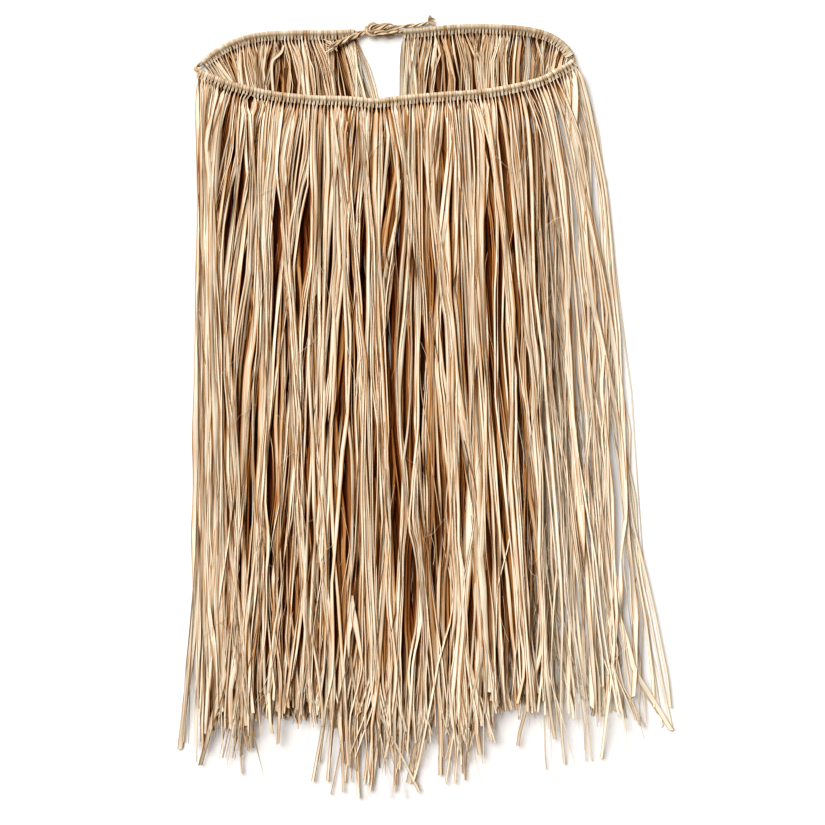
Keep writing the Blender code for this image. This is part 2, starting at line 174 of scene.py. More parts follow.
def strandFaces(first, count, around):  # walls, then the two ends
    start = first + np.arange(count - 1)[:, None] * around + np.arange(around)
    following = first + np.arange(count - 1)[:, None] * around + (np.arange(around) + 1) % around
    walls = np.stack([start, following, following + around, start + around], axis=-1).reshape(-1, 4)
    last = first + (count - 1) * around
    return walls, [list(range(first, first + around))[::-1], list(range(last, last + around))]


mapLayout = {  # where a strand's faces lie in the map, as shares of its own row and of the map's length
    "row": (0.12, 0.88),
    "walls": (0.02, 0.98),
    "ends": (0.008, 0.992),
    "endReach": 0.006,
}


def strandMap(row, rows, count, around):  # each strand has a row of the map, with its ends beside its walls
    low, high = ((row + share) / rows for share in mapLayout["row"])
    start, end = mapLayout["walls"]
    u = start + (end - start) * np.linspace(0, 1, count)
    v = low + (high - low) * np.linspace(0, 1, around + 1)
    i = np.repeat(np.arange(count - 1), around)
    j = np.tile(np.arange(around), count - 1)
    corners = [(u[i], v[j]), (u[i], v[j + 1]), (u[i + 1], v[j + 1]), (u[i + 1], v[j])]
    walls = np.stack([np.stack(corner, axis=-1) for corner in corners], axis=1).reshape(-1, 2)
    angle = np.arange(around) / around * fullTurn
    oval = np.stack([mapLayout["endReach"] * np.cos(angle), (high - low) / 2 * np.sin(angle)], axis=-1)
    return walls, [np.array([place, (low + high) / 2]) + oval for place in mapLayout["ends"]]


def meshOf(sheaf, name, material):
    points, walls, ends, wallMap, endMap = [], [], [], [], []
    first = 0
    for row, rings in enumerate(sheaf["rings"]):
        count, around = rings.shape[:2]
        faces, caps = strandFaces(first, count, around)
        wallPlaces, endPlaces = strandMap(row, len(sheaf["rings"]), count, around)
        points.append(rings.reshape(-1, 3))
        walls.append(faces)
        ends += caps
        wallMap.append(wallPlaces)
        endMap += endPlaces
        first += count * around
    mesh = bpy.data.meshes.new(name)
    mesh.from_pydata((np.vstack(points) * mm).tolist(), [], np.vstack(walls).tolist() + ends)
    places = mesh.uv_layers.new(name="OFBake")
    places.data.foreach_set("uv", np.vstack(wallMap + endMap).ravel())
    for key in ("across", "along", "tone", "grain", "edge"):
        layer = mesh.attributes.new(key, "FLOAT", "POINT")
        layer.data.foreach_set("value", np.concatenate([part.ravel() for part in sheaf[key]]))
    mesh.shade_smooth()
    mesh.set_sharp_from_angle(angle=math.radians(creaseAngle))
    mesh.materials.append(material)
    piece = bpy.data.objects.new(name, mesh)
    bpy.context.collection.objects.link(piece)
    return piece


def settle(piece, slot, *nodes):
    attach(piece, "root")
    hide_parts(*nodes)
    triangles = sum(len(face.vertices) - 2 for face in piece.data.polygons)
    print(piece.name, triangles, "triangles")


def pressed(points, floor=0.25, soft=1.0):  # keeps a point off the surface that it would sink into
    low = points[..., 2]
    points[..., 2] = np.where(low < soft, floor + (soft - floor) * np.exp((low - soft) / (soft - floor)), low)
    return points


# Finishes

fibreLook = {  # streaks are drawn out along the strand, as their width, length and detail
    "broad": (1.5, 60.0, 2.0),
    "fine": (0.6, 30.0, 3.0),
    "blotch": (9.0, 38.0, 2.0),
    "shares": (0.6, 0.4),      # of the broad and the fine streaks
    "apart": 97.0,             # how far apart two strands' patterns lie
    "rim": 4.0,                # how closely the painted edge shade keeps to the edges
    "rough": (0.4, 0.3),       # the least roughness, and how much more on a fine streak
    "relief": 0.3,             # height of the streaks
    "gloss": 0.1,
}
fibreColours = ("Pale", "Middle", "Deep")
# the last of these amounts is painted shade along the strands' edges
fibreAmounts = ("Streaks", "Blotches", "Edges")
finishes = {  # a strand's tone goes from deep to middle to pale
    "leaf": {
        "Pale": (0.725, 0.68, 0.58, 1), "Middle": (0.425, 0.232, 0.089, 1), "Deep": (0.15, 0.042, 0.007, 1),
        "Streaks": 1.42, "Blotches": 0.30, "Edges": 0.76, "bump": 0.5,
    },
    # a darker copy of the leaf for the back panel: painted shade, for the inside of the skirt
    "leafPaintedShade": {
        "Pale": (0.71, 0.67, 0.565, 1), "Middle": (0.42, 0.245, 0.11, 1), "Deep": (0.09, 0.028, 0.005, 1),
        "Streaks": 1.25, "Blotches": 0.36, "Edges": 0.82, "bump": 0.5,
    },
    "hitch": {
        "Pale": (0.74, 0.68, 0.565, 1), "Middle": (0.42, 0.27, 0.13, 1), "Deep": (0.12, 0.04, 0.01, 1),
        "Streaks": 0.8, "Blotches": 0.30, "Edges": 0.38, "bump": 0.5,
    },
    # a darker copy of the hitches for the back rim: painted shade, for the inside of the skirt
    "hitchPaintedShade": {
        "Pale": (0.63, 0.58, 0.48, 1), "Middle": (0.38, 0.25, 0.13, 1), "Deep": (0.12, 0.04, 0.01, 1),
        "Streaks": 0.8, "Blotches": 0.30, "Edges": 0.40, "bump": 0.5,
    },
    "cord": {
        "Pale": (0.66, 0.61, 0.51, 1), "Middle": (0.43, 0.275, 0.14, 1), "Deep": (0.14, 0.052, 0.014, 1),
        "Streaks": 0.60, "Blotches": 0.30, "Edges": 0.0, "bump": 0.8,
    },
}


def newGroup(name, inputs, outputs):
    group = bpy.data.node_groups.new(name, "ShaderNodeTree")
    for label, kind, value in inputs:
        socket = group.interface.new_socket(label, in_out="INPUT", socket_type=kind)
        socket.default_value = value
    for label, kind in outputs:
        group.interface.new_socket(label, in_out="OUTPUT", socket_type=kind)
    return group, group.nodes.new("NodeGroupInput"), group.nodes.new("NodeGroupOutput")


def addMath(tree, operation, first, second=None, third=None):
    node = tree.nodes.new("ShaderNodeMath")
    node.operation = operation
    for socket, value in zip(node.inputs, (first, second, third)):
        if isinstance(value, bpy.types.NodeSocket):
            tree.links.new(value, socket)
        elif value is not None:
            socket.default_value = value
    return node.outputs[0]


def addMix(tree, share, first, second):  # share is held between 0 and 1
    node = tree.nodes.new("ShaderNodeMix")
    node.data_type = "RGBA"
    for key, source in (("Factor_Float", share), ("A_Color", first), ("B_Color", second)):
        tree.links.new(source, next(socket for socket in node.inputs if socket.identifier == key))
    return next(socket for socket in node.outputs if socket.identifier == "Result_Color")


def addReading(tree, name):
    node = tree.nodes.new("ShaderNodeAttribute")
    node.attribute_name = name
    return node.outputs["Fac"]


def addStreaks(tree, across, along, grain, fineness, length, detail):
    spot = tree.nodes.new("ShaderNodeCombineXYZ")
    tree.links.new(addMath(tree, "DIVIDE", across, fineness), spot.inputs[0])
    tree.links.new(addMath(tree, "DIVIDE", along, length), spot.inputs[1])
    tree.links.new(addMath(tree, "MULTIPLY", grain, fibreLook["apart"]), spot.inputs[2])
    noise = tree.nodes.new("ShaderNodeTexNoise")
    noise.inputs["Scale"].default_value = 1.0
    noise.inputs["Detail"].default_value = detail
    tree.links.new(spot.outputs[0], noise.inputs["Vector"])
    return noise.outputs["Fac"]


def fibreGroup():
    sockets = dict.fromkeys(fibreColours, "NodeSocketColor") | dict.fromkeys(fibreAmounts, "NodeSocketFloat")
    group, given, result = newGroup(
        "dried leaf fibre",
        [(label, kind, finishes["leaf"][label]) for label, kind in sockets.items()],
        [("Color", "NodeSocketColor"), ("Roughness", "NodeSocketFloat"), ("Height", "NodeSocketFloat")],
    )
    across, along, grain, tone = (addReading(group, name) for name in ("across", "along", "grain", "tone"))
    # painted shade along each strand's edges, for the shade between neighbours and where it curls away
    rim = addMath(group, "POWER", addReading(group, "edge"), fibreLook["rim"])
    broad, fine, blotch = (
        addStreaks(group, across, along, grain, *fibreLook[name]) for name in ("broad", "fine", "blotch"))
    broadShare, fineShare = fibreLook["shares"]
    streak = addMath(group, "ADD", addMath(group, "MULTIPLY", broad, broadShare),
                     addMath(group, "MULTIPLY", fine, fineShare))
    lean = addMath(group, "MULTIPLY", addMath(group, "SUBTRACT", streak, 0.5), given.outputs["Streaks"])
    stain = addMath(group, "MULTIPLY", addMath(group, "SUBTRACT", blotch, 0.5), given.outputs["Blotches"])
    plain = addMath(group, "SUBTRACT", tone, addMath(group, "MULTIPLY", rim, given.outputs["Edges"]))
    shade = addMath(group, "MULTIPLY", addMath(group, "ADD", addMath(group, "ADD", plain, lean), stain), 2.0)
    dark = addMix(group, shade, given.outputs["Deep"], given.outputs["Middle"])
    colour = addMix(group, addMath(group, "SUBTRACT", shade, 1.0), dark, given.outputs["Pale"])
    gapShade = group.nodes.new("ShaderNodeVectorMath")   # a tone below nothing darkens towards black: painted shade in the gaps under the cord
    gapShade.operation = "SCALE"
    group.links.new(colour, gapShade.inputs["Vector"])
    group.links.new(addMath(group, "MINIMUM", addMath(group, "ADD", tone, 1.0), 1.0), gapShade.inputs["Scale"])
    group.links.new(gapShade.outputs["Vector"], result.inputs["Color"])
    least, more = fibreLook["rough"]
    group.links.new(addMath(group, "MULTIPLY_ADD", fine, more, least), result.inputs["Roughness"])
    group.links.new(streak, result.inputs["Height"])
    return group


fibre = fibreGroup()


def fibreMaterial(name, finish):
    material = bpy.data.materials.new(name)
    material.use_nodes = True
    tree = material.node_tree
    shader = tree.nodes["Principled BSDF"]
    effect = tree.nodes.new("ShaderNodeGroup")
    effect.node_tree = fibre
    for label in fibreColours + fibreAmounts:
        effect.inputs[label].default_value = finish[label]
    relief = tree.nodes.new("ShaderNodeBump")
    relief.inputs["Strength"].default_value = finish["bump"]
    relief.inputs["Distance"].default_value = fibreLook["relief"] * mm
    tree.links.new(effect.outputs["Color"], shader.inputs["Base Color"])
    tree.links.new(effect.outputs["Roughness"], shader.inputs["Roughness"])
    tree.links.new(effect.outputs["Height"], relief.inputs["Height"])
    tree.links.new(relief.outputs["Normal"], shader.inputs["Normal"])
    shader.inputs["Specular IOR Level"].default_value = fibreLook["gloss"]
    return material


leaf = fibreMaterial("dried palm leaf", finishes["leaf"])
# the back panel's leaf: painted shade, for the inside of the skirt
leafPaintedShade = fibreMaterial("dried palm leaf, painted shade behind", finishes["leafPaintedShade"])
leafHitch = fibreMaterial("dried palm leaf, hitched", finishes["hitch"])
# the back rim's hitches: painted shade
leafHitchPaintedShade = fibreMaterial("dried palm leaf, hitched behind, painted shade", finishes["hitchPaintedShade"])
cordFibre = fibreMaterial("twisted leaf cord", finishes["cord"])
print("finishes made")


# The waist cord's route, as x, y, z
frontCord = [
    (-263.5, 406.6, 5.4), (-267.6, 403.4, 5.8), (-267.0, 399.8, 7.0), (-252.4, 393.2, 11.2),
    (-226.6, 383.0, 12.1), (-182.3, 372.6, 11.9), (-136.3, 367.4, 11.9), (-91.4, 366.0, 11.9),
    (-61.5, 363.4, 11.9), (-32.8, 366.6, 11.9), (10.9, 370.6, 11.9), (70.7, 375.4, 11.9),
    (122.5, 386.2, 12.0), (148.0, 398.2, 11.8), (161.5, 406.0, 8.6), (166.4, 410.6, 6.2),
    (166.4, 414.4, 5.4),
]
backLeftCord = [
    (-263.0, 406.9, 5.1), (-254.7, 414.2, 4.0), (-244.4, 422.1, 3.2), (-230.6, 430.1, 2.9),
    (-211.0, 437.6, 2.8), (-184.6, 442.2, 2.8), (-147.8, 443.5, 2.8), (-113.3, 443.5, 2.8),
    (-88.0, 444.6, 2.8), (-73.1, 443.7, 3.0),
]
backRightCord = [
    (-36.1, 443.7, 6.2), (-27.0, 444.4, 5.4), (-14.0, 445.8, 2.9), (24.7, 449.6, 2.8),
    (59.2, 450.9, 2.8), (93.7, 449.6, 2.8), (119.0, 446.6, 2.8), (137.4, 441.6, 2.8),
    (151.2, 433.6, 2.8), (160.6, 424.6, 3.2), (166.2, 414.7, 5.1),
]
knotCentre = np.array((-54.6, 446.6, 4.6))
halfBight = [  # along, across and lift, from a leg to the middle of the bend
    (-18.5, 2.9, -1.6), (-14.5, 2.4, -2.4), (-11.0, 2.4, -2.2), (-7.5, 2.5, 0.0), (-4.0, 3.3, 1.9),
    (0.0, 4.6, 2.4), (4.0, 5.9, 1.9), (7.5, 6.8, 0.0), (11.0, 6.2, -2.0), (13.4, 4.2, -2.4),
    (14.6, 2.0, -2.4), (15.0, 0.0, -2.4),
]
tieLeft = [
    (-73.4, 443.7, 3.0), (-80.5, 441.3, 4.2), (-87.0, 438.2, 7.5), (-95.0, 434.8, 9.2),
    (-103.0, 431.2, 10.4), (-110.5, 427.8, 11.4),
]
tieRight = [
    (-35.8, 449.5, 6.2), (-29.0, 450.6, 6.2), (-20.0, 451.7, 4.8), (-9.0, 453.3, 3.2),
    (-1.0, 455.2, 2.6), (5.5, 457.0, 2.5),
]

rope = {
    "step": 1.5,
    "sides": 8,
    "swell": 0.12,         # how unevenly its plies lie and how much their thickness varies
    "swells": (12, 7),     # lengths over which these two change
    "slack": (25, 0.25),   # length over which its twist varies, and by how much
    "floor": (0.2, 0.8),   # the least height over the surface, and from where down it is pressed up
    # the waist cord's tone lies lower than the knot's and ties': painted shade where the cord shows between
    # the hitches
    "waist": {"radius": 2.35, "plies": 2, "ply": 0.56, "lay": 17.0, "flat": 0.86, "tone": (0.50, 0.75)},
    "knot": {"radius": 3.8, "plies": 4, "ply": 0.52, "lay": 46.0, "flat": 0.55, "tone": (0.70, 1.0)},
    "tie": {"radius": 3.3, "plies": 3, "ply": 0.52, "lay": 34.0, "flat": 0.7, "tone": (0.70, 1.0)},
    "bightNarrow": 0.72,   # share of a bight's drawn width that the knot keeps when pulled tight
}


def ropeSheaf(route, radius, kind, seed):  # plies laid round each other along a route
    draw = np.random.default_rng(seed)
    line = smoothLine(route)
    length = marksOf(line)[-1]
    count = max(6, round(length / rope["step"]))
    along = np.linspace(0, length, count)
    centre = walk(line, along)
    tangent = unit(np.gradient(centre, axis=0))
    side = unit(np.cross(tangent, (0, 0, 1)))
    up = np.cross(side, tangent)
    sheaf = newSheaf()
    plyRadius = radius * kind["ply"]
    for ply in range(kind["plies"]):
        turn = along / kind["lay"] * fullTurn + ply / kind["plies"] * fullTurn
        turn = turn + waver(draw, along, *rope["slack"])
        reach = (radius - plyRadius) * (1 + waver(draw, along, rope["swells"][0], rope["swell"]))
        middle = centre + reach[:, None] * (np.cos(turn)[:, None] * side + np.sin(turn)[:, None] * up)
        thick = plyRadius * (1 + waver(draw, along, rope["swells"][1], rope["swell"]))
        rings, across = tubeRings(middle, thick, rope["sides"], kind["flat"], turn)
        addStrand(sheaf, pressed(rings, *rope["floor"]), across, draw.uniform(*kind["tone"]), draw.random())
    return sheaf, centre


def addRope(name, route, kind, seed, node, radius=None):
    sheaf, centre = ropeSheaf(route, radius or rope[kind]["radius"], rope[kind], seed)
    piece = meshOf(sheaf, name, cordFibre)
    settle(piece, "cord", node)
    return piece, centre


def bight(side):  # side is -1 for the cord from the left, 1 for the right
    half = np.array(halfBight) * (1, rope["bightNarrow"], 1)
    mirrored = half[-2::-1] * (1, -1, 1)
    return knotCentre - side * np.vstack([half, mirrored])


def addTie(name, route, radius, seed, node):
    piece, centre = addRope(name, route, "tie", seed, node, radius)
    return piece


addTie("tie_left", tieLeft, 3.3, 5, "tie_end_left")
addTie("tie_right", tieRight, 2.5, 6, "tie_end_right")
addRope("cord_front", frontCord, "waist", 1, "waist_cord_front")
addRope("cord_back_left", backLeftCord, "waist", 2, "waist_cord_back_left")
addRope("cord_back_right", backRightCord, "waist", 3, "waist_cord_back_right")
addRope("knot_left", bight(-1), "knot", 8, "knot_left_bight")
addRope("knot_right", bight(1), "knot", 9, "knot_right_bight")


tuft = {  # the loose leaf at a tie's end
    "points": 8,
    "bend": 0.5,
    "rises": (-1, 2),          # how far a strip's tip lies above its root
    "starts": (-1, 1),
    "opens": (0.5, 0, 0.3),    # share of its width that it gains past its root, from where to where
    "closes": (0.4, 0.6, 1),   # share that its tip loses
    "curl": (0.5, 2),
    "ridge": 0.2,
    "tilt": 0.6,
    "cut": 0.6,
}
tufts = {
    "tuft_left": {
        "start": (-105.5, 430.0, 10.6), "heading": 3.6, "fan": 0.4, "strips": 16, "length": (7.0, 17.0),
        "width": (0.8, 2.6), "tone": (0.8, 0.15), "seed": 21, "node": "tie_end_left",
    },
    "tuft_right": {
        "start": (0.0, 456.0, 5.2), "heading": 0.5, "fan": 0.3, "strips": 3, "length": (6.5, 8.5),
        "width": (4.5, 6.5), "tone": (0.8, 0.1), "seed": 22, "node": "tie_end_right",
    },
}


def addTuft(name, kind):
    draw = np.random.default_rng(kind["seed"])
    sheaf = newSheaf()
    share = np.linspace(0, 1, tuft["points"])
    opened = 1 - tuft["opens"][0] + eased(share, *tuft["opens"])
    for _ in range(kind["strips"]):
        turn = kind["heading"] + draw.normal(0, kind["fan"])
        reach = draw.uniform(*kind["length"])
        bend = turn + draw.normal(0, tuft["bend"]) * share
        rise = draw.uniform(*tuft["rises"]) * share + draw.uniform(*tuft["starts"])
        steps = np.stack([reach * share * np.cos(bend), reach * share * np.sin(bend), rise], axis=1)
        widths = draw.uniform(*kind["width"]) * opened * (1 - eased(share, *tuft["closes"]))
        curl = draw.uniform(*tuft["curl"])
        tilt, cut = draw.normal(0, tuft["tilt"]), draw.normal(0, tuft["cut"])
        line = np.array(kind["start"]) + steps
        rings, across = ringsAlong(line, widths, leafThick, curl, tilt, (0, tuft["ridge"], 0), cut)
        addStrand(sheaf, pressed(rings), across, np.clip(draw.normal(*kind["tone"]), 0.1, 1), draw.random())
    settle(meshOf(sheaf, name, cordFibre), "cord", kind["node"])


for name, kind in tufts.items():
    addTuft(name, kind)
print("cords laid")


# How the locks spread, as share along the cord, the tip's x, how late they turn towards it, and how far
# sideways they lean where they leave the cord
frontSpread = np.array([
    (0.00, -296.0, 5.0, 0.06), (0.012, -262.0, 3.0, 0.03), (0.05, -250.0, 2.6, -0.15),
    (0.10, -236.0, 2.1, -0.32), (0.14, -223.0, 1.9, -0.24), (0.23, -182.0, 1.5, -0.16),
    (0.35, -120.0, 1.2, -0.08), (0.42, -80.0, 1.1, 0.00), (0.50, -34.0, 1.1, 0.03), (0.66, 57.0, 1.0, 0.00),
    (0.74, 103.0, 1.0, 0.10), (0.80, 138.0, 1.0, 0.24), (0.88, 184.0, 1.02, 0.32), (0.94, 218.0, 1.05, 0.34),
    (0.98, 248.0, 1.05, 0.36), (1.00, 278.0, 1.05, 0.37),
])
backLeftSpread = np.array([
    (0.00, -256.0, 1.2, 0.80), (0.15, -228.0, 1.0, 0.35), (0.35, -180.0, 1.0, 0.12),
    (0.50, -144.0, 1.0, 0.00), (0.70, -96.0, 1.0, 0.12), (0.90, -52.0, 0.9, 0.26), (1.00, -30.0, 0.9, 0.30),
])
backRightSpread = np.array([
    (0.00, -28.0, 1.6, -0.04), (0.30, 50.0, 1.1, 0.10), (0.60, 120.0, 1.1, 0.00), (0.80, 160.0, 1.0, -0.20),
    (1.00, 224.0, 1.0, -0.55),
])
# The hem, as x, the level where most strands are cut, the longest ones' tips, and the share of long ones
frontHem = np.array([
    (-300, -380, -391, 0.8), (-270, -330, -402, 0.6), (-262, -330, -396, 0.5), (-240, -328, -402, 0.5),
    (-215, -332, -414, 0.6), (-200, -330, -414, 0.35), (-180, -334, -388, 0.35), (-168, -336, -424, 0.10),
    (-115, -336, -428, 0.14), (-104, -345, -430, 0.60), (-64, -350, -447, 0.7), (-50, -350, -430, 0.65),
    (0, -345, -422, 0.6), (50, -345, -428, 0.6), (73, -340, -424, 0.5), (78, -328, -380, 0.05),
    (98, -328, -360, 0.05), (102, -336, -372, 0.25), (134, -338, -372, 0.20), (139, -322, -392, 0.5),
    (152, -325, -410, 0.75), (186, -325, -416, 0.75), (195, -325, -376, 0.5), (226, -328, -402, 0.6),
    (245, -330, -388, 0.65), (264, -335, -390, 0.6), (285, -352, -372, 0.5),
], float)
backHem = np.array([
    (-260, -340, -350, 0.2), (-168, -342, -350, 0.2), (-100, -342, -350, 0.2), (50, -336, -344, 0.2),
    (85, -326, -334, 0.2), (140, -325, -334, 0.2), (190, -340, -350, 0.2), (226, -342, -352, 0.2),
], float)

front = {
    "cord": frontCord, "margins": (12.5, 4.0), "locks": 105, "seed": 11,
    "spread": frontSpread, "hem": frontHem,
    "strands": (7, 8),         # in a lock
    "thinned": ((0, 0.012, 0.72, 0.84), (0.3, 1, 1, 0.42)),   # share along the cord, share of them kept
    "stack": 11.0,             # height of the layer, and how far above what it lies on
    "clearance": 1.0,
    "step": 15.0, "columns": (3, 5),   # how finely its strands are made, along and across
    "uneven": 22.0,            # height of the steps in its hem
    "leadOut": 60.0,           # how soon a strand has turned from where it leaves the cord
    "messy": 0.85, "kinkRuns": 1.0,    # how far its strands stray, and the lengths between their kinks
    "neckUnder": 1.8,          # how much wider the lower strands' necks are
    # the strands' tone, and the painted shade between the hitches, near their roots
    "tone": (0.93, 0.07), "rootShade": 0.75,
}
back = {
    "hem": backHem, "strands": (5, 7), "thinned": ((0, 1), (1, 1)), "stack": 6.8, "clearance": 0.8,
    "step": 19.0, "columns": (3, 4), "uneven": 8.0, "leadOut": 90.0, "messy": 2.0, "kinkRuns": 0.5,
    # the last value below: the painted shade between the hitches, near the strands' roots
    "neckUnder": 2.88, "tone": (0.93, 0.10), "rootShade": 0.55,
}
backLeft = {
    **back, "cord": backLeftCord, "margins": (3.0, 13.0), "locks": 47, "seed": 23, "spread": backLeftSpread,
}
backRight = {
    **back, "cord": backRightCord, "margins": (6.0, 3.0), "locks": 52, "seed": 37, "spread": backRightSpread,
    "thinned": ((0.50, 0.72), (1, 0.32)),
}
layers = {"_under": 0.6, "_over": 1.0}   # the depths at which a panel's strands are parted into pieces

panelUnder = {  # the back panel's top under the front one, and where it ends
    "height": 9.0,
    "leftEdge": ((-325.0, -262.0), (350.0, -240.0)),   # y, x
    "rightEdge": ((-325.0, 228.0), (385.0, 156.0)),
    "margin": 8.0, "ramp": 24.0,
    "hemDrop": (-402.0, -352.0),
}


def heightUnder(x, y):
    left = np.interp(y, *zip(*panelUnder["leftEdge"])) - panelUnder["margin"]
    right = np.interp(y, *zip(*panelUnder["rightEdge"])) + panelUnder["margin"]
    height = panelUnder["height"] * smoothStep(x, left - panelUnder["ramp"], left)
    height = height * (1 - smoothStep(x, right, right + panelUnder["ramp"]))
    low, high = panelUnder["hemDrop"]
    return height * np.clip((y - low) / (high - low), 0, 1)


clumps = {  # waves that gather neighbouring strands: length across, pull, run of their drift down the skirt
    "waves": ((82.0, 0.50, 1100.0), (36.0, 1.05, 640.0), (17.0, 0.80, 420.0)),
    "slant": 0.006,
    "drift": 1.3,
    "apart": 1.7,            # how far the waves' starts differ
    "sway": 1.5,             # a broad change of phase across the skirt, its length and where it starts
    "swayRun": 190.0,
    "swayStart": 0.6,
    "steps": (2.2, 0.9),     # how many depths gather on their own, and how far apart their waves are
    "comesIn": (4, 80),      # distances down a strand at which they start and are whole
}


def clumpShift(x, y, seed):
    shift = np.zeros_like(x)
    for n, (length, pull, run) in enumerate(clumps["waves"]):
        start = seed * (n + 1) * clumps["apart"]
        phase = start + clumps["drift"] * np.sin(y / run * fullTurn + start) + y * clumps["slant"] * (1 + n)
        phase = phase + clumps["sway"] * np.sin(x / clumps["swayRun"] + start * clumps["swayStart"])
        shift = shift - pull * length / fullTurn * np.sin(x / length * fullTurn + phase)
    return shift


partings = [  # where the upper strands part and show the ones under them, dark with painted shade: x, y, half length, half width
    (-88, 175, 85, 3.6), (-95, -98, 110, 4.2), (-76, 159, 90, 3.2), (-196, -6, 96, 3.6), (-26, 29, 99, 3.0),
    (-143, 219, 91, 3.6), (-5, 80, 105, 2.8), (18, 80, 67, 3.2), (-19, -198, 86, 5.0), (21, -209, 60, 3.0),
    (-172, 231, 70, 3.4), (-183, -69, 64, 3.4), (-180, -200, 50, 2.4), (71, 199, 56, 2.0), (114, 52, 45, 3.0),
    (-205, 360, 12, 3.0),
]
parted = {"above": 0.3, "near": 20, "whole": 0.4}   # least depth, reach sideways, share at full width


def partedShift(x, y):
    shift = np.zeros_like(x)
    for gapX, gapY, reach, width in partings:
        side = 1 if np.interp(-gapY, -y, x) > gapX else -1
        near = np.clip(1 - np.abs(x - gapX) / parted["near"], 0, 1)
        shift = shift + fading(np.abs(y - gapY), side * width * near, parted["whole"] * reach, reach)
    return shift


kinds = [  # share of the strands, widths, curls across, ridges, tilt, tapering tips
    {"share": 0.14, "width": (5.5, 9.0), "curl": (0.3, 1.3), "ridge": 0.35, "tilt": 0.22, "taper": 0.2},
    {"share": 0.50, "width": (3.2, 5.0), "curl": (0.5, 2.2), "ridge": 0.25, "tilt": 0.36, "taper": 0.35},
    {"share": 0.36, "width": (1.4, 3.0), "curl": (0.6, 2.6), "ridge": 0.12, "tilt": 0.60, "taper": 0.6},
]
strand = {
    "early": (0, 2.5, 5, 8, 12, 18, 27, 38),   # distances from its root at which it is shaped more finely
    "neck": 1.65,              # width where it leaves its hitch
    "neckDepths": (0.3, 0.6),
    "neckCurl": 2.6,
    "opens": (4.0, 18.0),      # where it has opened out to its width, and how much sooner or later
    "opensBy": (0.6, 1.3),
    "opening": 0.8,
    "runs": (45.0, 140.0),     # lengths between its kinks, to the first of them, and to the second
    "kinks": 36,
    "firstKink": (4, 10),
    "firstRun": (15.0, 85.0),
    "strays": ((0, 800), (1.0, 3.4)),   # how far it lies off its even place, by the distance from its root
    "steady": 0.25,            # share of that left in the outermost locks
    "sways": (110, 0.5),       # its slow bends, as length and amount, and where they start
    "swaysFrom": (10, 80),
    "crosses": 0.13,           # share that stray over their neighbours: how far, how late, and at what depth
    "reach": 24.0,
    "turns": (2.0, 2.0, 5.0),
    "crossDepth": 0.95,
    "splay": 0.12,             # how far their ends stray sideways, as a share of the length past the bend
    "bends": (260, 360),
    "tipStrays": 2.5,
    "rootOut": 3.4,            # where it starts: out from the cord, along it by depth, and up by depth
    "rootSpread": ((0.3, 0.6), (1.7, 0.6)),
    "rootRise": 2.4,
    "rootLowest": 1.0,
    "weaves": 0.09,            # how far it moves between depths
    "highest": 1.05,
    "flatRight": (0.65, 110, 170),   # how much flatter the skirt lies at the right, and near the hem
    "flatHem": (0.5, 290, 390),
    "settles": (2, 42),        # distances from its root at which it goes from the cord's height to its own
    "narrowest": 1.6,
    "swells": (60, 0.12, 0.3),       # how its width varies: length, amount and limit
    "curls": (90, 0.3, 0.25, 4.6),   # how its curl varies: length, amount and limits
    "tilts": (65, 0.42),
    "faceDown": 0.5,           # share that start with the other face up
    "flips": 0.5,              # share that turn over once on the way, where, and over what length
    "flipsAt": (0.15, 0.95),
    "flipReach": (32, 80),
    "tapers": (0.85, (25, 70), 6),   # share that a tapering tip loses, and how far before and past the tip
    "cut": 0.5,
    "splits": 0.20,            # share whose ends split in two, from what width, where, and how far apart
    "splitWidth": 3,
    "splitsAt": (0.55, 0.92),
    "splitSpread": (0.02, 0.06),
    "splitHalves": (0.27, 0.52, 0.6),   # of the width, how far aside and how wide a half is, and of its curl
}
broadness = {  # how strands' widths differ over the skirt
    "longTips": -365,          # tips beyond this are narrower at the right: x, share of the width
    "longRight": ((110, 150), (1, 0.55)),
    "hidden": ((0.2, 0.45), (1.5, 1)),   # wider where they lie deep: depth, share
    "rightFrom": 110,
    "right": 0.8,
    "front": (0.16, -250, 250),          # how much wider in the upper front, by the distance down
    "hem": (0.2, 300, 400),
}
toning = {  # what makes a strand darker or paler, as an amount and where it starts and ends
    "under": (0.86, 0.40, 0.95),         # painted shade: darker deep inside, by depth, for the shade the upper strands cast
    "midX": -38,
    "mid": (0.035, 50, 95),              # the painted shade deeper still about this x
    "underHem": (0.85, 180, 345),        # less painted shade towards the hem, and at the right
    "underRight": (0.85, 60, 150),
    "root": (0.4, 6, 34),                # painted shade near the hitch, by the distance from it, for the shade under the cord
    "gap": (5, 15),                      # painted shade between two hitches
    "outer": (0.15, 3),                  # paler in the outermost locks
    "limits": (0.03, 0.98),
    "middle": (0.05, 20, 60),            # paler right of the middle, below this level
    "middleDown": (-120, 40),
    # painted light: paler at the right and towards the hem, where the skirt lies thin and lets the light
    # through
    "right": (0.09, 110, 170),
    "hem": (0.04, 230, 350),
}
rimEnds = {  # what changes towards the ends of a rim, by the share along it
    "inner": (0.01, 0.10),     # from the first lock that strays at all to the first that strays freely
    "innerRight": (0.04, 3),   # the same from the right end: a share, and how much sooner
    "looseRight": (0.9, 0.88, 0.98),   # how much further the front's right locks stray, and where
    "shade": 0.4,              # the least painted shade, and where it starts and is whole
    "shadeFrom": (0.0, 0.08),
    "shadeOuter": (0.02, 0.16),        # the same for the back's outer ends
    "narrowBack": (0.9, 0.15, 0.95, 0.98),   # the back's widths, and how much less at its ends
    "crossing": 6,             # how soon strands may stray freely over each other
}


